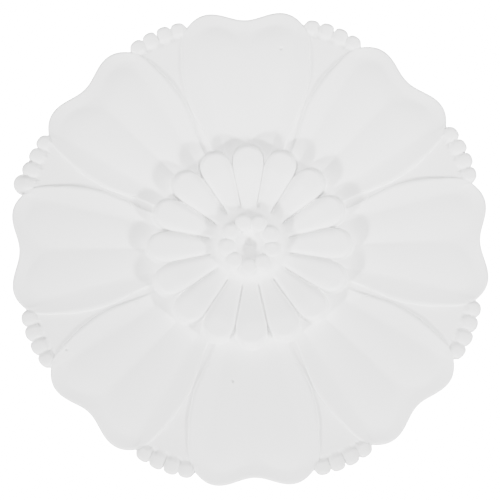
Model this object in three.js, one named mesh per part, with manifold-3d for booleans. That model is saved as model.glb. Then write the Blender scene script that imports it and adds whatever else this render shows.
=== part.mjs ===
// Round ceiling rose, one casting: a flat-backed plate with eight large petals, a group of reeds between each
// two petals, a flower of sixteen finger petals at the centre and a ring of flat beads around a funnel.
// Millimetres. The moulded face looks along -Y, the flat back lies in the plane y = 0 and +Z is up the face.
// Angles are in degrees, counter-clockwise on the face from +X, and heights are measured from the back.

import * as THREE from 'three';
import { mergeVertices } from 'three/addons/utils/BufferGeometryUtils.js';
import Module from 'manifold-3d';

// Outline
const PETALS = 8;
const LOBE_RADIUS = 150;
const NOTCH_DEPTH = 6.3;
const LOBE_ANGLE = 9.5;
const CORNER_ANGLE = 14.4;
const CORNER_DROP = 5;
const FIELD_RADIUS = 146;
const HALF_SECTOR = 180 / PETALS;

// Large petals
const PETAL_ANGLE = 21.95;
const SHOULDER_RADIUS = 88;
const SHOULDER_TURN = 7.5;
const SHOULDER_CURVE = 1.6;
const TAIL_RADIUS = 95;
const TAIL_LENGTH = 30;
const TAIL_SPLAY = 1.9;
const CREST_RADIUS = 113;
const CREST_HEIGHT = 12;
const INNER_RUN = 52;
const INNER_FALL = 4.8;
const OUTER_RUN = 36;
const OUTER_FALL = 3.4;
const LOBE_BULGE = 0.9;
const LOBE_END = 13;
const RIM_TURN = 13.7;
const RIM_RISE = 1.2;
const RIM_BAND = 8.5;
const RIM_CURVE = 1.2;
const EDGE_ROUND = 1.2;

// Field between two petals
const TAIL_DEPTH = 1;
const PANEL_OPENS = 98;
const PANEL_APEX = 117;
const PANEL_END = 138.4;
const PANEL_STEP = 1.2;
const PANEL_LOW = 11.8;
const PANEL_HIGH = 11;
const REED_DROP = 0.8;
const WALL_TURN = 0.35;
const WALL_GAP_SHARE = 0.4;

// Reeds at the outer end of each field
const REEDS = 4;
const REED_STEP = 3.75;
const REED_INNER = 139.4;
const REED_OUTER = 150;
const REED_ARC = 1.6;
const REED_ROUND = 3.8;
const REED_LIP = 0.5;
const REED_SWELL = 2;
const REED_FULLNESS = 2.5;
const REED_END_FULLNESS = 4;

// Flash left on the outline beside two reeds: angle, reach, half width and thickness of each lump
const FLASH = [
  { angle: 159.3, reach: 151.4, halfWidth: 5.6, top: 5 },
  { angle: 163.2, reach: 153.8, halfWidth: 6.4, top: 5 },
];

// Finger petals of the centre flower
const FINGERS = 16;
const FINGER_INNER = 22;
const FINGER_TIP_CENTRE = 53.3;
const FINGER_TIP_RADIUS = 9.7;
const FINGER_LOW = 12.2;
const FINGER_HIGH = 18;
const FINGER_CREST = 49;
const FINGER_GROOVE = 0.42;
const FINGER_PIT = 2;
const PIT_END = 42;
const FINGER_FULLNESS = 4;
const FINGER_ROUND = 3;
const FINGER_DRAFT = 4.5;
const FINGER_FOOT = 6.8;
const FINGER_ROOT = 2;
const FLOWER_CORE = 5;
const FLARE_CURVE = 3;

// Boss with the bead ring and the funnel inside it
const BEADS = 9;
const BEAD_TURN = 25;
const BEAD_CIRCLE = 14;
const BEAD_RADIUS = 5.5;
const BEAD_FOOT = 16.5;
const BEAD_TOP = 20.5;
const BEAD_FULLNESS = 3;
const BOSS_HEIGHT = 17;
const BOSS_RIM = 17;
const BOSS_FOOT = 24.5;
const BOSS_ROOT = 12.5;
const FUNNEL_RADIUS = 8.2;
const FUNNEL_FLOOR = 8;
const FUNNEL_CURVE = 1.5;

// Facets
const LOBE_SHARES = [0.36, 0.69, 0.87, 1];
const RIM_SHARES = [0.5, 1];
const PLATE_RINGS = [50, 68, 83, 97, 110, 121, 129];
const RIM_INSETS = [12, RIM_BAND, 3.5, EDGE_ROUND, 0];
const FINGER_SHARES = [-0.88, -0.5, 0, 0.5, 0.88, 1];
const FINGER_RINGS = [20, 32, FINGER_CREST];
const FINGER_INSETS = [FINGER_ROUND, 0.8, 0];
const FINGER_FLARES = [0.3, 1];
const BEAD_SHARES = [-0.67, -0.33, 0, 0.33, 0.67, 1];
const BEAD_STATIONS = [-1, -0.75, 0, 0.75, 1];
const BEAD_GAP = 0.3;
const FLARE_STEPS = [0, 0.35, 1];
const FUNNEL_SHARE = 0.45;
const REED_COLUMNS = 4;
const REED_STATIONS = 4;
const FLASH_SIDES = 10;

const RADIANS = Math.PI / 180;
const WELD = 1e-5;
const wasm = await Module();
wasm.setup();

function clamp(value, low, high) {
  return Math.min(Math.max(value, low), high);
}

function mix(from, to, share) {
  return from + (to - from) * share;
}

function ease(from, to, value) {
  const share = clamp((value - from) / (to - from), 0, 1);
  return share * share * (3 - 2 * share);
}

// Point of the face at a distance from the axis along an angle, raised from the back.
function facePoint(radius, angle, height) {
  return [radius * Math.cos(angle * RADIANS), -height, radius * Math.sin(angle * RADIANS)];
}

// Outline of a petal's end: two lobes, a soft notch on the petal's axis and rounded corners.
function petalEnd(turn) {
  if (turn < LOBE_ANGLE) {
    return LOBE_RADIUS - NOTCH_DEPTH * (1 + Math.cos(Math.PI * turn / LOBE_ANGLE)) / 2;
  }
  const corner = clamp((turn - LOBE_ANGLE) / (CORNER_ANGLE - LOBE_ANGLE), 0, 1);
  return LOBE_RADIUS - CORNER_DROP * corner ** 2;
}

// Half of the angle that a petal fills: nearly its whole sector, with round shoulders towards the outline.
function petalHalfAngle(radius) {
  const reach = LOBE_RADIUS - CORNER_DROP;
  const shoulder = clamp((radius - SHOULDER_RADIUS) / (reach - SHOULDER_RADIUS), 0, 1);
  const tail = clamp((TAIL_RADIUS - radius) / TAIL_LENGTH, 0, 1);
  return PETAL_ANGLE - SHOULDER_TURN * shoulder ** SHOULDER_CURVE - TAIL_SPLAY * tail;
}

// Arch of a petal along its length.
function archHeight(radius) {
  const away = radius - CREST_RADIUS;
  const fall = away < 0 ? INNER_FALL * (away / INNER_RUN) ** 2 : OUTER_FALL * (away / OUTER_RUN) ** 2;
  return CREST_HEIGHT - fall;
}

// Relief of a petal: two arched lobes side by side, inside a rim that rises to the edge. The turn is the
// angle from the petal's axis and the inset the distance from the petal's end.
function petalHeight(turn, halfAngle, radius, inset) {
  const across = 2 * Math.min(turn / RIM_TURN, 1) - 1;
  const end = clamp(1 - (inset - RIM_BAND) / LOBE_END, 0, 1);
  const lobe = LOBE_BULGE * Math.max(0, 1 - across ** 2 - end ** 2);
  const sideRim = clamp((turn - RIM_TURN) / (halfAngle - RIM_TURN), 0, 1);
  const endRim = clamp(1 - inset / RIM_BAND, 0, 1);
  return archHeight(radius) + lobe + RIM_RISE * Math.min(1, Math.hypot(sideRim, endRim)) ** RIM_CURVE;
}

// Field between two petals: a narrow tail near the flower, then a sunk panel that ends at a low step.
function fieldHeight(radius) {
  const tail = archHeight(radius) + RIM_RISE - TAIL_DEPTH;
  const climb = clamp((radius - PANEL_APEX) / (PANEL_END - PANEL_APEX), 0, 1);
  const panel = mix(PANEL_LOW, PANEL_HIGH, climb);
  const step = REED_DROP * ease(PANEL_END, PANEL_END + PANEL_STEP, radius);
  return mix(tail, panel, ease(PANEL_OPENS, PANEL_APEX, radius)) - step;
}

// Closed solid of a geometry, its shared points welded.
function solid(geometry) {
  geometry.deleteAttribute('normal');
  geometry.deleteAttribute('uv');
  const welded = mergeVertices(geometry, WELD);
  return new wasm.Manifold(new wasm.Mesh({
    numProp: 3,
    vertProperties: new Float32Array(welded.attributes.position.array),
    triVerts: new Uint32Array(welded.index.array),
  }));
}

// Solid of a lathe whose profile changes from column to column. A profile runs from the axis at the front,
// out to the edge and back to the axis at the rear. Its points hold a distance, an angle and a height, and
// the columns are taken clockwise so that the faces look outwards.
function polarBody(profiles) {
  const columns = profiles.length;
  const heights = profiles[0].map((_, ring) => new THREE.Vector2(1, ring));
  const grid = new THREE.LatheGeometry(heights, columns);
  for (let column = 0; column <= columns; column += 1) {
    profiles[(columns - column) % columns].forEach(([radius, angle, height], ring) => {
      grid.attributes.position.setXYZ(column * heights.length + ring, ...facePoint(radius, angle, height));
    });
  }
  return solid(grid);
}

// Columns of the plate on one side of a petal's axis: shares of a lobe, then of the rim beside it, and the
// foot of the wall.
const COLUMNS = [
  ...LOBE_SHARES.map((share) => ({ lobe: share, rim: 0 })),
  ...RIM_SHARES.map((share) => ({ lobe: 1, rim: share })),
  { foot: true },
];

// Angle of a column from the petal's axis.
function columnTurn(column, halfAngle) {
  if (column.middle) {
    return HALF_SECTOR;
  }
  if (column.foot) {
    return halfAngle + Math.min(WALL_GAP_SHARE * (HALF_SECTOR - halfAngle), WALL_TURN);
  }
  const rimTurn = Math.min(RIM_TURN, halfAngle);
  return mix(rimTurn * column.lobe, halfAngle, column.rim);
}

// One column of the plate, on a petal or in the field beside it.
function plateProfile(axis, side, column) {
  const inField = Boolean(column.foot || column.middle);
  const start = PLATE_RINGS[0];
  const reach = LOBE_RADIUS - CORNER_DROP;
  const place = (nominal, inset) => {
    const halfAngle = petalHalfAngle(nominal);
    const turn = columnTurn(column, halfAngle);
    const edge = inField ? FIELD_RADIUS : petalEnd(turn);
    const radius = inset === null ? mix(start, edge, (nominal - start) / (reach - start)) : edge - inset;
    const height = inField ? fieldHeight(radius) : petalHeight(turn, halfAngle, radius, edge - radius);
    return [radius, axis + side * turn, height];
  };
  const inner = PLATE_RINGS.map((radius) => place(radius, null));
  const rim = RIM_INSETS.map((inset) => place(reach - inset, inset));
  const [radius, angle] = rim[rim.length - 1];
  rim[rim.length - 1][2] -= EDGE_ROUND;
  return [[0, 0, archHeight(start)], ...inner, ...rim, [radius, angle, 0], [0, 0, 0]];
}

// Plate with the eight large petals and the fields between them.
function plateBody() {
  const profiles = [];
  for (let petal = 0; petal < PETALS; petal += 1) {
    const axis = 2 * petal * HALF_SECTOR;
    const before = COLUMNS.toReversed().map((column) => plateProfile(axis, -1, column));
    const after = COLUMNS.map((column) => plateProfile(axis, 1, column));
    const groove = plateProfile(axis, 1, { lobe: 0, rim: 0 });
    profiles.push(...before, groove, ...after, plateProfile(axis, 1, { middle: true }));
  }
  return polarBody(profiles);
}

// Solid of a box grid whose points are placed by a function of across, along and up, each from -1 to 1.
function placedBox(columns, stations, place) {
  const grid = new THREE.BoxGeometry(2, 2, 2, columns, stations, 1);
  const position = grid.attributes.position;
  for (let index = 0; index < position.count; index += 1) {
    position.setXYZ(index, ...place(position.getX(index), position.getY(index), position.getZ(index)));
  }
  return solid(grid);
}

// Group of reeds at the outer end of a field: short ribs side by side, round across and at both ends. Their
// tips lie on a shallow arc.
function reedGroupBody(axis) {
  return placedBox(REEDS * REED_COLUMNS, REED_STATIONS, (across, along, up) => {
    const reed = Math.min(REEDS - 1, Math.floor((across + 1) * REEDS / 2));
    const side = (across + 1) * REEDS - 2 * reed - 1;
    const girth = Math.sqrt(Math.max(0, 1 - Math.abs(side) ** REED_FULLNESS));
    const station = Math.sin(along * Math.PI / 2);
    const end = REED_ROUND * (1 - girth);
    const reach = REED_OUTER - REED_ARC * across ** 2;
    const radius = mix(REED_INNER + end, reach - end, (1 + station) / 2);
    const swell = REED_LIP + REED_SWELL * girth * Math.sqrt(Math.max(0, 1 - station ** REED_END_FULLNESS));
    const height = fieldHeight(Math.max(radius, PANEL_END + PANEL_STEP)) + swell;
    return facePoint(radius, axis - across * REEDS * REED_STEP / 2, up > 0 ? height : 0);
  });
}

function reedBodies() {
  return Array.from({ length: PETALS }, (_, field) => reedGroupBody((2 * field + 1) * HALF_SECTOR));
}

// Flat lump of flash with a round end, lying on the plane of the back.
function flashBodies() {
  return FLASH.map(({ angle, reach, halfWidth, top }) => {
    const lump = new THREE.CylinderGeometry(halfWidth, halfWidth, top, FLASH_SIDES);
    lump.translate(...facePoint(reach - halfWidth, angle, top / 2));
    return solid(lump);
  });
}

// Span of a disc seen from the axis at an angle from the disc's own: its middle and half of its length.
function discSpan(centre, radius, turn) {
  const away = centre * Math.sin(turn * RADIANS);
  const half = Math.sqrt(Math.max(0, radius ** 2 - away ** 2));
  return { middle: centre * Math.cos(turn * RADIANS), half };
}

// How far a concave flare has come down at a share of its run.
function flareFall(share) {
  return 1 - (1 - clamp(share, 0, 1)) ** FLARE_CURVE;
}

// Relief of a finger: it climbs to a flat tip, is flat across with round sides, and turns down at the end.
// The grooves between the fingers are deepest beside the boss.
function fingerHeight(share, radius, inset) {
  const climb = (radius - FINGER_INNER) / (FINGER_CREST - FINGER_INNER);
  const crown = mix(FINGER_LOW, FINGER_HIGH, Math.min(climb, 1));
  const pit = FINGER_PIT * (1 - ease(BOSS_FOOT, PIT_END, radius));
  const depth = FINGER_GROOVE * radius * Math.tan(Math.PI / FINGERS) + pit;
  const groove = depth * (1 - Math.sqrt(1 - share ** FINGER_FULLNESS));
  const tip = clamp(1 - inset / FINGER_ROUND, 0, 1);
  return crown - groove - FINGER_ROUND * (1 - Math.sqrt(1 - tip ** 2));
}

// One column of the flower: along a finger to its round tip, then down a flare to the plate.
function flowerProfile(axis, share) {
  const turn = Math.abs(share) * 180 / FINGERS;
  const { middle, half } = discSpan(FINGER_TIP_CENTRE, FINGER_TIP_RADIUS, turn);
  const edge = middle + half;
  const angle = axis + Math.sign(share) * turn;
  const start = FINGER_RINGS[0];
  const reach = FINGER_TIP_CENTRE + FINGER_TIP_RADIUS;
  const inner = FINGER_RINGS.map((radius) => mix(start, edge, (radius - start) / (reach - start)));
  const radii = [...inner, ...FINGER_INSETS.map((inset) => edge - inset)];
  const brow = fingerHeight(share, edge, 0);
  const wall = FINGER_HIGH - FINGER_ROUND - FINGER_FOOT;
  return [
    [0, 0, FLOWER_CORE],
    ...radii.map((radius) => [radius, angle, fingerHeight(share, radius, edge - radius)]),
    ...FINGER_FLARES.map((flare) => [edge + FINGER_DRAFT * flare, angle, brow - wall * flareFall(flare)]),
    [edge + FINGER_DRAFT, angle, FINGER_ROOT],
    [0, 0, FINGER_ROOT],
  ];
}

function flowerBody() {
  const profiles = [];
  for (let finger = 0; finger < FINGERS; finger += 1) {
    profiles.push(...FINGER_SHARES.map((share) => flowerProfile(finger * 360 / FINGERS, share)));
  }
  return polarBody(profiles);
}

// One column of the boss: the funnel, a flat round bead on the rim, then the flared side.
function bossProfile(axis, share) {
  const turn = share * 180 / BEADS;
  const angle = axis + turn;
  const { middle, half } = discSpan(BEAD_CIRCLE, BEAD_RADIUS, turn);
  const brim = middle - half - BEAD_GAP;
  const funnel = (radius) => {
    const sunk = clamp(1 - radius / FUNNEL_RADIUS, 0, 1) ** FUNNEL_CURVE;
    return [radius, angle, mix(BOSS_HEIGHT, FUNNEL_FLOOR, sunk)];
  };
  const bead = (station) => {
    const out = 1 - half ** 2 * (1 - station ** 2) / BEAD_RADIUS ** 2;
    return [middle + half * station, angle, mix(BEAD_FOOT, BEAD_TOP, Math.sqrt(1 - out ** BEAD_FULLNESS))];
  };
  const flare = (step) => {
    const radius = mix(middle + half + BEAD_GAP, BOSS_FOOT, step);
    const fall = flareFall((radius - BOSS_RIM) / (BOSS_FOOT - BOSS_RIM));
    return [radius, angle, mix(BOSS_HEIGHT, BOSS_ROOT, fall)];
  };
  return [
    [0, 0, FUNNEL_FLOOR],
    funnel(FUNNEL_SHARE * FUNNEL_RADIUS),
    funnel(brim),
    ...BEAD_STATIONS.map(bead),
    ...FLARE_STEPS.map(flare),
    [BOSS_FOOT, angle, FINGER_ROOT],
    [0, 0, FINGER_ROOT],
  ];
}

function bossBody() {
  const profiles = [];
  for (let bead = 0; bead < BEADS; bead += 1) {
    profiles.push(...BEAD_SHARES.map((share) => bossProfile(BEAD_TURN + bead * 360 / BEADS, share)));
  }
  return polarBody(profiles);
}

// The casting: every form joined into one solid.
function castingGeometry() {
  const forms = [flowerBody(), bossBody(), ...reedBodies(), ...flashBodies()];
  const casting = forms.reduce((whole, form) => whole.add(form), plateBody());
  const mesh = casting.getMesh();
  const geometry = new THREE.BufferGeometry();
  geometry.setAttribute('position', new THREE.BufferAttribute(mesh.vertProperties, 3));
  geometry.setIndex(new THREE.BufferAttribute(mesh.triVerts, 1));
  geometry.computeVertexNormals();
  return geometry;
}

const primer = new THREE.MeshStandardMaterial({ color: 0xf1f0ec, roughness: 0.85, metalness: 0 });
const casting = new THREE.Mesh(castingGeometry(), primer);
casting.name = 'ceiling_rose';

const rose = new THREE.Group();
rose.name = 'rose';
rose.add(casting);

export default rose;
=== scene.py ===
"""Looks of a round plaster ceiling rose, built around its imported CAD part.

Metres. The moulded face looks along -Y, the flat back lies in the plane y = 0 and +Z is up the face.
Angles are measured on the face, counter-clockwise from +X, and heights from the back.
"""

import math

import bmesh
import bpy
from mathutils import Matrix, Vector


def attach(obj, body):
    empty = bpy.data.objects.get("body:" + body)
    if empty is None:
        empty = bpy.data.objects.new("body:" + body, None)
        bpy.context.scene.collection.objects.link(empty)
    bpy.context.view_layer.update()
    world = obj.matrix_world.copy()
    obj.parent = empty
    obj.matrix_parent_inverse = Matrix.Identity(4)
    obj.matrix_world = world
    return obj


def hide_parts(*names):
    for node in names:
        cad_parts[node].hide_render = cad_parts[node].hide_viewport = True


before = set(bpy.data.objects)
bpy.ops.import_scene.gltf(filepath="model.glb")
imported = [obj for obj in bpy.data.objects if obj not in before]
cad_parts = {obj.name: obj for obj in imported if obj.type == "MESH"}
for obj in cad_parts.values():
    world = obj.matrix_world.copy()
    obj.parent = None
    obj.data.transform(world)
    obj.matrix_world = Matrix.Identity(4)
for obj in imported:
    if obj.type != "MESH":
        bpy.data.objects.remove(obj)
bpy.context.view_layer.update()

# Counts that the ornament repeats
PETALS = 8
REEDS = 4
FINGERS = 16
BEADS = 9

# Lengths of the casting
LENGTHS = {
    "lobe radius": 0.150,
    "notch depth": 0.0063,
    "corner drop": 0.005,
    "shoulder radius": 0.088,
    "tail radius": 0.095,
    "tail length": 0.030,
    "crest radius": 0.113,
    "crest height": 0.012,
    "inner run": 0.052,
    "inner fall": 0.0048,
    "outer run": 0.036,
    "outer fall": 0.0034,
    "lobe bulge": 0.0009,
    "lobe end": 0.013,
    "rim rise": 0.0012,
    "rim band": 0.0085,
    "edge round": 0.0012,
    "tail depth": 0.0010,
    "panel opens": 0.098,
    "panel apex": 0.117,
    "panel end": 0.1384,
    "panel step": 0.0012,
    "panel low": 0.0118,
    "panel high": 0.0110,
    "reed drop": 0.0008,
    "reed swell": 0.002,
    "reed inner": 0.1394,
    "reed outer": 0.150,
    "reed arc": 0.0016,
    "reed round": 0.0038,
    "reed fillet": 0.0004,
    "finger inner": 0.022,
    "finger tip centre": 0.0533,
    "finger tip radius": 0.0097,
    "finger low": 0.0122,
    "finger high": 0.018,
    "finger crest": 0.049,
    "crest round": 0.0012,
    "finger round": 0.003,
    "finger draft": 0.0045,
    "finger foot": 0.0068,
    "finger pit": 0.002,
    "pit end": 0.042,
    "apron radius": 0.0685,
    "bead centre": 0.0140,
    "bead radius": 0.0055,
    "bead foot": 0.0165,
    "bead top": 0.0205,
    "boss height": 0.0170,
    "boss rim": 0.0170,
    "boss foot": 0.0245,
    "boss draft": 0.001,
    "boss root": 0.0125,
    "funnel radius": 0.0082,
    "funnel floor": 0.008,
    "bead fillet": 0.0005,
    "fillet": 0.0009,
    "flash thickness": 0.005,
    "hand unevenness": 0.0003,
    "cast unevenness": 0.00012,
    # Width beside the petals' middle grooves where shade is painted
    "shaded groove": 0.004,
}

# Angles of the casting, in degrees
ANGLES = {
    "lobe angle": 9.5,
    "corner angle": 14.4,
    "petal angle": 21.95,
    "shoulder turn": 7.5,
    "tail splay": 1.9,
    "rim turn": 13.7,
    "wall turn": 0.35,
    "reed step": 3.75,
    "bead turn": 25.0,
    # Angle beside the petals over which the painted shade of the fields fades in
    "shaded edge": 1.146,
}

# Shares of a width or depth
SHARES = {
    "finger groove": 0.42,
    "wall gap": 0.4,
}

# Powers that make the forms full or hollow
SHOULDER_CURVE = 1.6
RIM_CURVE = 1.2
REED_FULLNESS = 2.5
REED_END_FULLNESS = 4.0
FINGER_FULLNESS = 4.0
BEAD_FULLNESS = 3.0
FLARE_CURVE = 3.0
FUNNEL_CURVE = 1.5

# Girth below which a reed counts as the seam to the next one, and the share of the wall where reeds start
REED_SEAM = 0.01
REED_START = 0.5

# Columns of the relief's grid in each half sector of a petal, and its rings from the axis outwards
LOBE_COLUMNS = 16
RIM_COLUMNS = 6
WALL_COLUMNS = 3
FIELD_COLUMNS = 25
HALF_COLUMNS = LOBE_COLUMNS + RIM_COLUMNS + WALL_COLUMNS + FIELD_COLUMNS
COLUMNS = 2 * PETALS * HALF_COLUMNS
RINGS = {
    "funnel": 6,
    "bead": 12,
    "flare": 5,
    "flower": 27,
    "flower wall": 6,
    "apron": 5,
    "plate": 49,
    "edge": 3,
    "back": 1,
}

# Powers that crowd the rings outwards, in the funnel and flower and on the plate
FLOWER_CROWDING = 1.4
PLATE_CROWDING = 1.25

# Share of the plate over which the even columns regroup by petal, and the share where the flash starts
REGROUP_SHARE = 0.14
FLASH_START = 0.93

# Points closer than this are joined
WELD = 1e-6

# Flash left on the outline beside two reeds: angle in degrees, reach and half width
FLASH = [
    (159.3, 0.1514, 0.0056),
    (163.2, 0.1538, 0.0064),
]

# Air holes in the cast face: place on the face and radius
AIR_HOLES = [
    (0.0222, 0.1241, 0.0008),
    (-0.0121, -0.0838, 0.0008),
    (-0.1324, -0.0461, 0.0007),
    (-0.1148, -0.0625, 0.0006),
]
HOLE_DIVISIONS = 2
RAY_START = -1.0

# Waviness of the cast face: the broad waves of the hand and the fine ones of the mould
HAND_SCALE = 38.0
HAND_DETAIL = 1.0
CAST_SCALE = 260.0
CAST_DETAIL = 2.0
NOISE_MIDDLE = 0.5

# Painted shade in the petals' grooves and in the fields, and how close it keeps to the gaps between the
# fingers
GROOVE_PAINTED_SHADE = 0.5
FIELD_PAINTED_SHADE = 0.8
GAP_FOCUS = 6.0

# Plaster's colours, one of them darker and painted as shade in the hollows, and its sheen
PALE_PLASTER = (0.95, 0.95, 0.95, 1.0)
CLOUDED_PLASTER = (0.93, 0.93, 0.925, 1.0)
SHADED_PLASTER = (0.90, 0.895, 0.89, 1.0)
PAINTED_SHADE_SHARE = 0.5
PLASTER_SHEEN = 0.25
LEAST_ROUGH = 0.78
MOST_ROUGH = 0.9

# Plaster's clouding, tooth and pores
CLOUD_SCALE = 30.0
CLOUD_DETAIL = 4.0
TOOTH_SCALE = 1400.0
TOOTH_DETAIL = 3.0
TOOTH_SHARE = 0.4
PORE_SCALE = 420.0
PORE_STEEPNESS = 6.0
PORE_SHARE = 0.3
GRAIN_DEPTH = 0.0001
GRAIN_STRENGTH = 0.35

# Sockets of a Mix node that hold its two colours and their mix
FIRST_COLOUR = 6
SECOND_COLOUR = 7
MIXED_COLOUR = 2

# Camera: picture width at the aim, distance, rise and roll in degrees, aim, and sensor in millimetres
PICTURE_WIDTH = 0.3122
CAMERA_DISTANCE = 1.4
CAMERA_RISE = -7.0
CAMERA_ROLL = -1.2
AIM = Vector((0.00007, -0.006, -0.00205))
SENSOR = 36.0

# Soft round lamps: name, angle and rise from the face in degrees, distance, width and power in watts
LAMPS = [
    ("left_lamp", 216.0, 24.0, 3.6, 0.42, 172.0),
    ("right_lamp", 330.0, 24.0, 3.6, 0.42, 167.0),
    ("high_lamp", 90.0, 72.0, 0.8, 0.5, 3.3),
]

# Front spot: angle, rise and distance of its place, its target, cone in degrees, radius and power in watts
SPOT_PLACE = (270.0, 83.0, 2.0)
SPOT_TARGET = Vector((0.04, 0.0, 0.1))
SPOT_CONE = 18.5
SPOT_RADIUS = 0.15
SPOT_POWER = 110.0

# White room: its strength in front, above, behind and as the camera sees it
ROOM_FRONT = 0.05
ROOM_HIGH = 0.5
ROOM_BACK = 1.2
ROOM_SEEN = 20.0

# Parts of a direction's Y and Z over which the room's light grows towards the back and upwards
BACK_SPAN = (-0.1, 0.3)
HIGH_SPAN = (0.0, 0.5)
ROOM_COLOUR = (1.0, 1.0, 1.0, 1.0)

# Floor below the object
FLOOR_HEIGHT = -2.4
FLOOR_RADIUS = 2.2
FLOOR_SIDES = 96
FLOOR_COLOUR = (0.8, 0.8, 0.8, 1.0)
FLOOR_ROUGHNESS = 0.9


class Amount:
    """A number at every point of a mesh. Plain arithmetic on it adds the Math nodes that work it out."""

    def __init__(self, tree, socket):
        self.tree = tree
        self.socket = socket

    def __add__(self, other):
        return reckon("ADD", self, other)

    def __sub__(self, other):
        return reckon("SUBTRACT", self, other)

    def __mul__(self, other):
        return reckon("MULTIPLY", self, other)

    def __truediv__(self, other):
        return reckon("DIVIDE", self, other)

    def __pow__(self, other):
        return reckon("POWER", self, other)

    def __rsub__(self, other):
        return reckon("SUBTRACT", other, self)

    __radd__ = __add__
    __rmul__ = __mul__


def reckon(operation, *values):
    """Adds one Math node over amounts and plain numbers."""
    tree = next(value.tree for value in values if isinstance(value, Amount))
    node = tree.nodes.new("ShaderNodeMath")
    node.operation = operation
    for socket, value in zip(node.inputs, values):
        if isinstance(value, Amount):
            tree.links.new(value.socket, socket)
        else:
            socket.default_value = value
    return Amount(tree, node.outputs[0])


def clamp(value):
    """Value held between 0 and 1."""
    return reckon("MAXIMUM", reckon("MINIMUM", value, 1.0), 0.0)


def mix(start, end, share):
    """Value at a share of the way from start to end."""
    return (end - start) * share + start


def ease(start, end, value):
    """Smooth climb from 0 at start to 1 at end."""
    share = clamp((value - start) / (end - start))
    return share * share * (3.0 - 2.0 * share)


def root(value):
    """Square root, and 0 where there is none."""
    return reckon("SQRT", reckon("MAXIMUM", value, 0.0))


def quarter_round(share):
    """Height under a quarter circle that starts at 0 and reaches 1."""
    return root(1.0 - (1.0 - share) * (1.0 - share))


def below(value, limit):
    """1 where the value is below the limit, and 0 elsewhere."""
    return reckon("LESS_THAN", value, limit)


def filleted(first, second, fillet):
    """Higher of two forms, with a small fillet where they meet."""
    return reckon("SMOOTH_MAX", first, second, fillet)


def from_nearest(angle, count):
    """Angle from the nearest of a number of equal places round the circle, without its sign."""
    return reckon("PINGPONG", angle, math.pi / count)


def new_node(tree, kind, inputs=(), **settings):
    """Adds a node, sets its properties and links or sets its inputs by name or number."""
    node = tree.nodes.new(kind)
    for name, value in settings.items():
        setattr(node, name, value)
    for name, value in dict(inputs).items():
        if isinstance(value, Amount):
            value = value.socket
        if isinstance(value, bpy.types.NodeSocket):
            tree.links.new(value, node.inputs[name])
        else:
            node.inputs[name].default_value = value
    return node


def disc_span(size, name, turn):
    """Middle and half length of a disc on a circle, seen from the axis."""
    centre = size[name + " centre"]
    radius = size[name + " radius"]
    away = centre * reckon("SINE", turn)
    return centre * reckon("COSINE", turn), root(radius * radius - away * away)


def petal_end(size, turn):
    """Outline of a petal's end: two lobes, a soft notch on the petal's axis and rounded corners."""
    lobe = reckon("MINIMUM", turn / size["lobe angle"], 1.0)
    corner = clamp((turn - size["lobe angle"]) / (size["corner angle"] - size["lobe angle"]))
    notch = size["notch depth"] * (1.0 + reckon("COSINE", lobe * math.pi)) / 2.0
    return size["lobe radius"] - notch - size["corner drop"] * corner * corner


def petal_half_angle(size, radius):
    """Half of the angle that a petal fills: nearly its sector, with round shoulders towards the outline."""
    reach = size["lobe radius"] - size["corner drop"]
    shoulder = clamp((radius - size["shoulder radius"]) / (reach - size["shoulder radius"]))
    tail = clamp((size["tail radius"] - radius) / size["tail length"])
    narrowing = size["shoulder turn"] * shoulder ** SHOULDER_CURVE + size["tail splay"] * tail
    return size["petal angle"] - narrowing


def wall_angle(size, half_angle):
    """Angle that the steep side of a petal fills, less where the field beside it is narrow."""
    gap = math.pi / PETALS - half_angle
    return reckon("MINIMUM", gap * size["wall gap"], size["wall turn"])


def arch_height(size, radius):
    """Arch of a petal along its length."""
    away = radius - size["crest radius"]
    inner = reckon("MINIMUM", away, 0.0) / size["inner run"]
    outer = reckon("MAXIMUM", away, 0.0) / size["outer run"]
    return size["crest height"] - size["inner fall"] * inner * inner - size["outer fall"] * outer * outer


def petal_height(size, turn, half_angle, radius, inset):
    """Relief of a petal: two arched lobes side by side, inside a rim that rises to the edge."""
    across = reckon("MINIMUM", turn / size["rim turn"], 1.0) * 2.0 - 1.0
    end = clamp(1.0 - (inset - size["rim band"]) / size["lobe end"])
    lobe = size["lobe bulge"] * reckon("MAXIMUM", 1.0 - across * across - end * end, 0.0)
    side_rim = clamp((turn - size["rim turn"]) / (half_angle - size["rim turn"]))
    end_rim = clamp(1.0 - inset / size["rim band"])
    rim = reckon("MINIMUM", root(side_rim * side_rim + end_rim * end_rim), 1.0) ** RIM_CURVE
    return arch_height(size, radius) + lobe + size["rim rise"] * rim


def field_height(size, radius):
    """Field between two petals: a narrow tail, then a sunk panel that meets the reeds at a low step."""
    tail = arch_height(size, radius) + size["rim rise"] - size["tail depth"]
    climb = clamp((radius - size["panel apex"]) / (size["panel end"] - size["panel apex"]))
    panel = mix(size["panel low"], size["panel high"], climb)
    step = ease(size["panel end"], size["panel end"] + size["panel step"], radius)
    return mix(tail, panel, ease(size["panel opens"], size["panel apex"], radius)) - size["reed drop"] * step


def reed_girth(size, turn):
    """How full a reed is at an angle from the petal's axis: 1 on its ridge, 0 beside the next reed."""
    place = (math.pi / PETALS - turn) / size["reed step"]
    side = reckon("ABSOLUTE", reckon("FRACT", place) * 2.0 - 1.0)
    return root(1.0 - side ** REED_FULLNESS) * below(place, REEDS / 2.0)


def reed_reach(size, turn):
    """Distance from the axis to the shallow arc on which the tips of a group of reeds lie."""
    across = (math.pi / PETALS - turn) / (size["reed step"] * (REEDS / 2.0))
    return size["reed outer"] - size["reed arc"] * across * across


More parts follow.
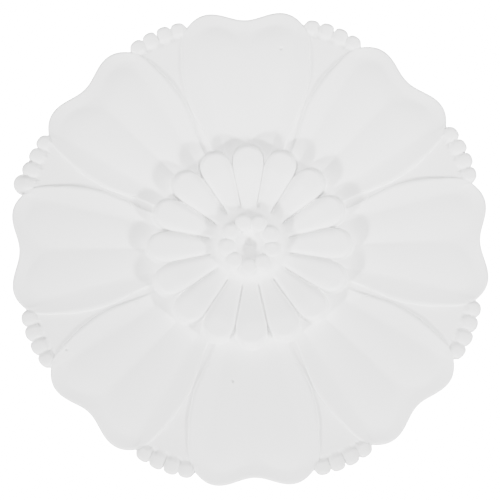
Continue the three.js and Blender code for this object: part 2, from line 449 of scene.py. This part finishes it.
def reed_height(size, turn, radius):
    """Short ribs side by side, round across and at both ends."""
    girth = reed_girth(size, turn)
    end = size["reed round"] * (1.0 - girth)
    reach = reed_reach(size, turn)
    middle = (size["reed inner"] + reach) / 2.0
    station = (radius - middle) / ((reach - size["reed inner"]) / 2.0 - end)
    swell = size["reed swell"] * girth * root(1.0 - station ** REED_END_FULLNESS)
    inside = below(reckon("ABSOLUTE", station), 1.0) * below(REED_SEAM, girth)
    return (field_height(size, radius) + swell) * inside


def outline(size, turn):
    """Distance from the axis to the edge of the casting: lobes of the petals, round ends of the reeds."""
    half_angle = petal_half_angle(size, size["lobe radius"])
    reeds = reed_reach(size, turn) - size["reed round"] * (1.0 - reed_girth(size, turn))
    foot = half_angle + wall_angle(size, half_angle)
    return mix(petal_end(size, turn), reeds, ease(half_angle, foot, turn))


def flash_reach(angle, edge):
    """Edge of the casting with the flash left beside two reeds, on their side of the face only."""
    for place, reach, half_width in FLASH:
        centre = reach - half_width
        turn = reckon("ABSOLUTE", angle - math.radians(place))
        away = centre * reckon("SINE", turn)
        lump = centre * reckon("COSINE", turn) + root(half_width ** 2 - away * away)
        near = below(reckon("ABSOLUTE", away), half_width) * below(turn, math.pi / 2.0)
        edge = reckon("MAXIMUM", edge, lump * near)
    return edge


def plate_height(size, turn, half_angle, radius, edge):
    """Face of the plate: petals, the walls at their sides, fields and reeds."""
    petal = petal_height(size, turn, half_angle, radius, edge - radius)
    wall = ease(half_angle, half_angle + wall_angle(size, half_angle), turn)
    ground = mix(petal, field_height(size, radius), wall)
    reeds = reed_height(size, turn, radius) * below(REED_START, wall)
    return filleted(ground, reeds, size["reed fillet"])


def finger_edge(size, turn):
    """Distance from the axis to the round tips of the finger petals."""
    middle, half = disc_span(size, "finger tip", turn)
    return middle + half


def flower_height(size, turn, radius, edge):
    """Finger petals of the centre flower: they climb to flat tips, are round across and flare at the foot."""
    slope = (size["finger high"] - size["finger low"]) / (size["finger crest"] - size["finger inner"])
    climb = size["finger low"] + slope * (radius - size["finger inner"])
    crown = reckon("SMOOTH_MIN", climb, size["finger high"], size["crest round"])
    share = clamp(turn / (math.pi / FINGERS))
    pit = size["finger pit"] * (1.0 - ease(size["boss foot"], size["pit end"], radius))
    depth = size["finger groove"] * radius * math.tan(math.pi / FINGERS) + pit
    groove = depth * (1.0 - root(1.0 - share ** FINGER_FULLNESS))
    tip = size["finger round"] * (1.0 - quarter_round(clamp((edge - radius) / size["finger round"])))
    flare = clamp((radius - edge) / size["finger draft"])
    wall = size["finger high"] - size["finger round"] - size["finger foot"]
    return crown - groove - tip - wall * (1.0 - (1.0 - flare) ** FLARE_CURVE)


def core_height(size, radius):
    """Boss without its beads: a funnel and a flared side."""
    funnel = clamp(1.0 - radius / size["funnel radius"]) ** FUNNEL_CURVE
    side = clamp((radius - size["boss rim"]) / (size["boss foot"] - size["boss rim"]))
    fall = (size["boss height"] - size["boss root"]) * (1.0 - (1.0 - side) ** FLARE_CURVE)
    drop = size["boss height"] * clamp((radius - size["boss foot"]) / size["boss draft"])
    return size["boss height"] - (size["boss height"] - size["funnel floor"]) * funnel - fall - drop


def boss_height(size, turn, radius):
    """Boss at the centre, with a ring of flat round beads on its rim."""
    middle, half = disc_span(size, "bead", turn)
    away = radius - middle
    on_bead = below(reckon("ABSOLUTE", away), half + WELD)
    out = 1.0 - (half * half - away * away) / (size["bead radius"] * size["bead radius"])
    swell = (size["bead top"] - size["bead foot"]) * root(1.0 - out ** BEAD_FULLNESS)
    return filleted(core_height(size, radius), (size["bead foot"] + swell) * on_bead, size["bead fillet"])


def size_inputs(tree):
    """Named sizes of the casting, as inputs of the node group."""
    group_input = tree.nodes.new("NodeGroupInput")
    size = {}
    for name in [*LENGTHS, *ANGLES, *SHARES]:
        tree.interface.new_socket(name, in_out="INPUT", socket_type="NodeSocketFloat")
        size[name] = Amount(tree, group_input.outputs[name])
    return size


def ring_steps(ring):
    """How far each zone of rings has been walked, from 0 to 1, by zone name."""
    steps = {}
    start = 0
    for zone, count in RINGS.items():
        steps[zone] = clamp((ring - start) / count)
        start += count
    return steps


def crowded(step, power):
    """Step with more of its rings near the end."""
    return 1.0 - (1.0 - step) ** power


def ring_half_angle(size, steps):
    """Half angle of the petals along a grid ring, from the ring's mean distance to the axis."""
    reach = size["lobe radius"] - size["corner drop"]
    return petal_half_angle(size, mix(size["apron radius"], reach, crowded(steps["plate"], PLATE_CROWDING)))


def column_angle(size, column, half_angle, steps):
    """Angle of a grid column: even in the flower, and grouped by lobe, rim, wall and field on the plate."""
    half_sector = math.pi / PETALS
    nearest = reckon("ROUND", column / (2.0 * HALF_COLUMNS))
    place = column - nearest * (2.0 * HALF_COLUMNS)
    left = reckon("ABSOLUTE", place)
    even = left * (half_sector / HALF_COLUMNS)
    foot = half_angle + wall_angle(size, half_angle)
    spans = [(LOBE_COLUMNS, size["rim turn"]), (RIM_COLUMNS, half_angle), (WALL_COLUMNS, foot),
             (FIELD_COLUMNS, half_sector)]
    grouped = 0.0
    start = 0.0
    for count, end in spans:
        grouped = grouped + (end - start) * clamp(left / count)
        left = left - count
        start = end
    turn = mix(even, grouped, ease(0.0, REGROUP_SHARE, steps["plate"]))
    return nearest * (2.0 * half_sector) + turn * reckon("SIGN", place)


def ring_radius(size, steps, bead_turn, finger_limit, bare_edge, edge):
    """Distance of a grid ring from the axis. Rings follow the beads, the finger tips and the outline."""
    middle, half = disc_span(size, "bead", bead_turn)
    bead = half * (1.0 - reckon("COSINE", steps["bead"] * math.pi))
    flare = (size["boss foot"] - middle - half) * steps["flare"]
    flower = (finger_limit - size["boss foot"]) * crowded(steps["flower"], FLOWER_CROWDING)
    wall = size["finger draft"] * steps["flower wall"]
    apron = (size["apron radius"] - finger_limit - size["finger draft"]) * steps["apron"]
    outwards = crowded(steps["plate"], PLATE_CROWDING)
    plate = (bare_edge - size["apron radius"]) * outwards
    flash = (edge - bare_edge) * ease(FLASH_START, 1.0, outwards)
    funnel = (middle - half) * crowded(steps["funnel"], FLOWER_CROWDING)
    return (funnel + bead + flare + flower + wall + apron + plate + flash) * (1.0 - steps["back"])


def waves(tree, place, scale, detail):
    """Noise over the face, as much above 0 as below."""
    noise = new_node(tree, "ShaderNodeTexNoise", {"Vector": place, "Scale": scale, "Detail": detail})
    return Amount(tree, noise.outputs[0]) - NOISE_MIDDLE


def unevenness(tree, size, x, z):
    """Slight waviness of a hand-finished cast face."""
    place = new_node(tree, "ShaderNodeCombineXYZ", {0: x, 2: z}).outputs[0]
    hand = waves(tree, place, HAND_SCALE, HAND_DETAIL) * size["hand unevenness"]
    cast = waves(tree, place, CAST_SCALE, CAST_DETAIL) * size["cast unevenness"]
    return hand + cast


def painted_shade_amount(size, petal_turn, half_angle, finger_turn, bead_turn, radius, edge):
    """Where shade is painted into the plaster's colour: grooves, the fields, between the fingers and in the
    funnel.
    """
    groove = 1.0 - clamp(petal_turn * radius / size["shaded groove"])
    field = ease(half_angle, half_angle + size["shaded edge"], petal_turn)
    on_plate = 1.0 - below(radius, edge)
    between = clamp(finger_turn / (math.pi / FINGERS)) ** GAP_FOCUS
    middle, half = disc_span(size, "bead", bead_turn)
    funnel = 1.0 - clamp(radius / (middle - half))
    plate = (groove * GROOVE_PAINTED_SHADE + field * FIELD_PAINTED_SHADE) * on_plate
    return clamp(plate + between * (1.0 - on_plate) + funnel)


def point_place(tree):
    """Place of every point, as three amounts."""
    position = tree.nodes.new("GeometryNodeInputPosition").outputs[0]
    place = new_node(tree, "ShaderNodeSeparateXYZ", {0: position})
    return [Amount(tree, side) for side in place.outputs]


def casting_grid(tree):
    """Flat grid that becomes the skin, and each point's column and ring. The last column is the first."""
    rings = sum(RINGS.values())
    grid = new_node(tree, "GeometryNodeMeshGrid", {
        "Size X": float(COLUMNS), "Size Y": float(rings), "Vertices X": COLUMNS + 1, "Vertices Y": rings + 1,
    })
    along, outwards, _ = point_place(tree)
    column = reckon("FLOORED_MODULO", reckon("ROUND", along + COLUMNS / 2.0), COLUMNS)
    ring = reckon("ROUND", outwards + rings / 2.0)
    return grid.outputs["Mesh"], column, ring


def casting_shape(tree, size, column, ring):
    """Place of every point of the skin, and how much shade is painted there in its hollows."""
    steps = ring_steps(ring)
    half_angle = ring_half_angle(size, steps)
    angle = column_angle(size, column, half_angle, steps)
    petal_turn = from_nearest(angle, PETALS)
    finger_turn = from_nearest(angle, FINGERS)
    bead_turn = from_nearest(angle - size["bead turn"], BEADS)
    bare_edge = outline(size, petal_turn)
    edge = flash_reach(angle, bare_edge)
    finger_limit = finger_edge(size, finger_turn)
    radius = ring_radius(size, steps, bead_turn, finger_limit, bare_edge, edge)
    plate = plate_height(size, petal_turn, half_angle, radius, bare_edge)
    on_flash = clamp((radius - bare_edge) / size["edge round"])
    plate = mix(plate, size["flash thickness"], on_flash)
    flower = flower_height(size, finger_turn, radius, finger_limit)
    boss = boss_height(size, bead_turn, radius)
    face = filleted(filleted(plate, flower, size["fillet"]), boss, size["fillet"])
    x = radius * reckon("COSINE", angle)
    z = radius * reckon("SINE", angle)
    rounding = size["edge round"] * (1.0 - quarter_round(clamp((edge - radius) / size["edge round"])))
    front = face + unevenness(tree, size, x, z) - rounding
    height = front * (1.0 - clamp(steps["edge"] + steps["back"]))
    place = new_node(tree, "ShaderNodeCombineXYZ", {0: x, 1: height * -1.0, 2: z})
    hollow = painted_shade_amount(size, petal_turn, half_angle, finger_turn, bead_turn, radius, finger_limit)
    return place.outputs[0], hollow


def casting_tree(material):
    """Node group that makes the whole casting from its sizes: one closed skin, front, edge and back."""
    tree = bpy.data.node_groups.new("ceiling_rose_relief", "GeometryNodeTree")
    tree.interface.new_socket("Geometry", in_out="OUTPUT", socket_type="NodeSocketGeometry")
    size = size_inputs(tree)
    grid, column, ring = casting_grid(tree)
    place, hollow = casting_shape(tree, size, column, ring)
    # Keeps the mask of the shade painted in the hollows, for the plaster's colour
    stored = new_node(tree, "GeometryNodeStoreNamedAttribute", {
        "Geometry": grid, "Name": "hollow", "Value": hollow,
    }, data_type="FLOAT", domain="POINT")
    shaped = new_node(tree, "GeometryNodeSetPosition", {"Geometry": stored.outputs[0], "Position": place})
    welded = new_node(tree, "GeometryNodeMergeByDistance", {"Geometry": shaped.outputs[0], "Distance": WELD})
    outward = new_node(tree, "GeometryNodeFlipFaces", {"Mesh": welded.outputs[0]})
    on_front = below(point_place(tree)[1], -WELD)
    smooth = new_node(tree, "GeometryNodeSetShadeSmooth", {
        "Geometry": outward.outputs[0], "Shade Smooth": on_front,
    })
    real = new_node(tree, "GeometryNodeRealizeInstances", {"Geometry": smooth.outputs[0]})
    dressed = new_node(tree, "GeometryNodeSetMaterial", {"Geometry": real.outputs[0], "Material": material})
    new_node(tree, "NodeGroupOutput", {0: dressed.outputs[0]})
    return tree


def mixed_colour(tree, share, first, second):
    """Colour between two others, as an output of a Mix node."""
    blend = new_node(tree, "ShaderNodeMix", {
        "Factor": share, FIRST_COLOUR: first, SECOND_COLOUR: second,
    }, data_type="RGBA")
    return blend.outputs[MIXED_COLOUR]


def plaster_grain(tree, place):
    """Normal of the plaster's fine tooth and pores."""
    tooth = new_node(tree, "ShaderNodeTexNoise", {
        "Vector": place, "Scale": TOOTH_SCALE, "Detail": TOOTH_DETAIL,
    })
    pores = new_node(tree, "ShaderNodeTexVoronoi", {"Vector": place, "Scale": PORE_SCALE})
    pore_depth = 1.0 - clamp(Amount(tree, pores.outputs["Distance"]) * PORE_STEEPNESS)
    rough = Amount(tree, tooth.outputs[0]) * TOOTH_SHARE - pore_depth * PORE_SHARE
    bump = new_node(tree, "ShaderNodeBump", {
        "Height": rough, "Distance": GRAIN_DEPTH, "Strength": GRAIN_STRENGTH,
    })
    return bump.outputs[0]


def plaster_material():
    """Matte white gypsum plaster: faint clouding, shade painted in the hollows, a fine tooth and pores."""
    material = bpy.data.materials.new("plaster")
    material.use_nodes = True
    tree = material.node_tree
    shader = tree.nodes["Principled BSDF"]
    shader.inputs["Specular IOR Level"].default_value = PLASTER_SHEEN
    place = tree.nodes.new("ShaderNodeTexCoord").outputs["Object"]
    cloud = new_node(tree, "ShaderNodeTexNoise", {
        "Vector": place, "Scale": CLOUD_SCALE, "Detail": CLOUD_DETAIL,
    }).outputs[0]
    clouded = mixed_colour(tree, cloud, CLOUDED_PLASTER, PALE_PLASTER)
    # Darker plaster painted as shade where the face is hollow
    hollow = new_node(tree, "ShaderNodeAttribute", attribute_name="hollow")
    painted_shade = Amount(tree, hollow.outputs["Fac"]) * PAINTED_SHADE_SHARE
    shaded_colour = mixed_colour(tree, painted_shade, clouded, SHADED_PLASTER)
    roughness = mix(LEAST_ROUGH, MOST_ROUGH, Amount(tree, cloud))
    tree.links.new(shaded_colour, shader.inputs["Base Color"])
    tree.links.new(roughness.socket, shader.inputs["Roughness"])
    tree.links.new(plaster_grain(tree, place), shader.inputs["Normal"])
    return material


def keep_result(item):
    """Turns what the modifiers make into the object's own mesh."""
    made = item.evaluated_get(bpy.context.evaluated_depsgraph_get())
    mesh = bpy.data.meshes.new_from_object(made)
    item.modifiers.clear()
    item.data = mesh


def relief_object(material):
    """Casting as a plain mesh: the node group is run once and its modifier goes."""
    tree = casting_tree(material)
    casting = bpy.data.objects.new("ceiling_rose_casting", bpy.data.meshes.new("ceiling_rose_casting"))
    bpy.context.collection.objects.link(casting)
    relief = casting.modifiers.new("relief", "NODES")
    relief.node_group = tree
    values = {**LENGTHS, **SHARES, **{name: math.radians(turn) for name, turn in ANGLES.items()}}
    for item in tree.interface.items_tree:
        if item.in_out == "INPUT":
            relief[item.identifier] = values[item.name]
    keep_result(casting)
    return casting


def air_hole_cutter(casting):
    """Small balls sunk in the face where air was trapped in the cast."""
    balls = bmesh.new()
    inwards = Vector((0.0, 1.0, 0.0))
    for x, z, radius in AIR_HOLES:
        found, point, _, _ = casting.ray_cast(Vector((x, RAY_START, z)), inwards)
        if found:
            place = Matrix.Translation(point)
            bmesh.ops.create_icosphere(balls, subdivisions=HOLE_DIVISIONS, radius=radius, matrix=place)
    mesh = bpy.data.meshes.new("air_hole_cutter")
    balls.to_mesh(mesh)
    balls.free()
    return bpy.data.objects.new("air_hole_cutter", mesh)


def cut_air_holes(casting):
    """Cuts the air holes into the casting's own mesh."""
    cutter = air_hole_cutter(casting)
    bpy.context.collection.objects.link(cutter)
    cut = casting.modifiers.new("air holes", "BOOLEAN")
    cut.object = cutter
    cut.solver = "MANIFOLD"
    keep_result(casting)
    bpy.data.objects.remove(cutter)


def face_direction(angle, rise):
    """Direction from the face: an angle on the face and a rise from its plane towards the front."""
    flat = math.cos(math.radians(rise))
    turn = math.radians(angle)
    return Vector((flat * math.cos(turn), -math.sin(math.radians(rise)), flat * math.sin(turn)))


def look_at(item, target):
    """Turns a camera or lamp towards a point."""
    item.rotation_mode = "QUATERNION"
    item.rotation_quaternion = (target - item.location).to_track_quat("-Z", "Y")


def add_camera():
    """Camera in front of the face, a little below its axis."""
    camera = bpy.data.objects.new("camera", bpy.data.cameras.new("camera"))
    bpy.context.collection.objects.link(camera)
    rise = math.radians(CAMERA_RISE)
    camera.location = AIM + CAMERA_DISTANCE * Vector((0.0, -math.cos(rise), math.sin(rise)))
    look_at(camera, AIM)
    roll = Matrix.Rotation(math.radians(CAMERA_ROLL), 4, "Z").to_quaternion()
    camera.rotation_quaternion = camera.rotation_quaternion @ roll
    camera.data.sensor_width = SENSOR
    camera.data.lens = SENSOR * CAMERA_DISTANCE / PICTURE_WIDTH
    bpy.context.scene.camera = camera


def add_lamps():
    """Soft round lamps round the face, all aimed at the middle of its back."""
    for name, angle, rise, distance, width, power in LAMPS:
        lamp = bpy.data.objects.new(name, bpy.data.lights.new(name, "AREA"))
        bpy.context.collection.objects.link(lamp)
        lamp.data.shape = "DISK"
        lamp.data.size = width
        lamp.data.energy = power
        lamp.location = distance * face_direction(angle, rise)
        look_at(lamp, Vector((0.0, 0.0, 0.0)))


def add_front_spot():
    """Soft spot on the camera's axis, aimed at the upper right, so that its light fades to the lower left."""
    spot = bpy.data.objects.new("front_spot", bpy.data.lights.new("front_spot", "SPOT"))
    bpy.context.collection.objects.link(spot)
    spot.data.energy = SPOT_POWER
    spot.data.shadow_soft_size = SPOT_RADIUS
    spot.data.spot_size = math.radians(SPOT_CONE)
    spot.data.spot_blend = 1.0
    angle, rise, distance = SPOT_PLACE
    spot.location = distance * face_direction(angle, rise)
    look_at(spot, SPOT_TARGET)


def add_white_room():
    """White surround: full white to the camera, a soft light on the object from above and from behind."""
    world = bpy.data.worlds.new("white_room")
    world.use_nodes = True
    bpy.context.scene.world = world
    tree = world.node_tree
    background = tree.nodes["Background"]
    background.inputs["Color"].default_value = ROOM_COLOUR
    seen = Amount(tree, tree.nodes.new("ShaderNodeLightPath").outputs["Is Camera Ray"])
    direction = tree.nodes.new("ShaderNodeTexCoord").outputs["Generated"]
    way = new_node(tree, "ShaderNodeSeparateXYZ", {0: direction})
    behind = ease(*BACK_SPAN, Amount(tree, way.outputs["Y"]))
    above = ease(*HIGH_SPAN, Amount(tree, way.outputs["Z"]))
    strength = mix(mix(mix(ROOM_FRONT, ROOM_HIGH, above), ROOM_BACK, behind), ROOM_SEEN, seen)
    tree.links.new(strength.socket, background.inputs["Strength"])
    bpy.context.scene.view_settings.view_transform = "Filmic"


def add_floor():
    """Plain pale floor, well below the object."""
    disc = bmesh.new()
    place = Matrix.Translation((0.0, 0.0, FLOOR_HEIGHT))
    bmesh.ops.create_circle(disc, cap_ends=True, segments=FLOOR_SIDES, radius=FLOOR_RADIUS, matrix=place)
    mesh = bpy.data.meshes.new("floor")
    disc.to_mesh(mesh)
    disc.free()
    floor = bpy.data.objects.new("floor", mesh)
    bpy.context.collection.objects.link(floor)
    pale = bpy.data.materials.new("pale_floor")
    pale.use_nodes = True
    shader = pale.node_tree.nodes["Principled BSDF"]
    shader.inputs["Base Color"].default_value = FLOOR_COLOUR
    shader.inputs["Roughness"].default_value = FLOOR_ROUGHNESS
    mesh.materials.append(pale)


plaster = plaster_material()
rose = relief_object(plaster)
cut_air_holes(rose)
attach(rose, "root")
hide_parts("ceiling_rose")

add_camera()
add_lamps()
add_front_spot()
add_white_room()
add_floor()
